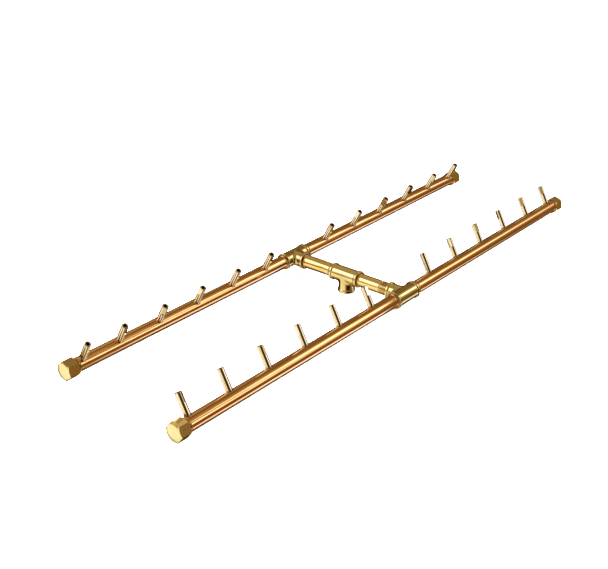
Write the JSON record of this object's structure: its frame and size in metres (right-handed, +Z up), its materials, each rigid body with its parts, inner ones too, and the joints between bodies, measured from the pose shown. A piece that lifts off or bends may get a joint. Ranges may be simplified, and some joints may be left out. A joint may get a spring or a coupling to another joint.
{
  "type": "gas fire pit burner assembly",
  "caption": "H-shaped brass gas burner: two parallel pipes with rows of inward-leaning jets, joined by a cross link whose centre tee has a threaded gas inlet facing down.",
  "frame": {"origin": "centre of the gas inlet's mouth, the lowest point of the part, below the middle of the cross link", "axes": "+X along the two burner rows, +Y from the front row to the back row, +Z up; the gas inlet opens along -Z"},
  "size_m": [0.968, 0.2465, 0.0657],
  "materials": {
    "pipe_brass": "bright drawn red brass pipe, a little heat-tinted",
    "nipple_brass": "bright drawn yellow brass pipe",
    "fitting_brass": "tumbled cast brass, satin to bright",
    "cap_brass": "turned and brushed hexagon brass bar",
    "jet_brass": "bright turned brass"
  },
  "bodies": {
    "root": {"arm_front_left": "pipe_brass", "arm_front_right": "pipe_brass", "arm_back_left": "pipe_brass", "arm_back_right": "pipe_brass", "end_cap_front_left": "cap_brass", "end_cap_front_right": "cap_brass", "end_cap_back_left": "cap_brass", "end_cap_back_right": "cap_brass", "jet_front_left_1": "jet_brass", "jet_front_left_2": "jet_brass", "jet_front_left_3": "jet_brass", "jet_front_left_4": "jet_brass", "jet_front_left_5": "jet_brass", "jet_front_left_6": "jet_brass", "jet_front_right_1": "jet_brass", "jet_front_right_2": "jet_brass", "jet_front_right_3": "jet_brass", "jet_front_right_4": "jet_brass", "jet_front_right_5": "jet_brass", "jet_front_right_6": "jet_brass", "jet_back_left_1": "jet_brass", "jet_back_left_2": "jet_brass", "jet_back_left_3": "jet_brass", "jet_back_left_4": "jet_brass", "jet_back_left_5": "jet_brass", "jet_back_left_6": "jet_brass", "jet_back_right_1": "jet_brass", "jet_back_right_2": "jet_brass", "jet_back_right_3": "jet_brass", "jet_back_right_4": "jet_brass", "jet_back_right_5": "jet_brass", "jet_back_right_6": "jet_brass", "tee_front": "fitting_brass", "tee_back": "fitting_brass", "tee_centre": "fitting_brass", "cross_nipple_front": "nipple_brass", "cross_nipple_back": "nipple_brass"}
  },
  "joints": []
}
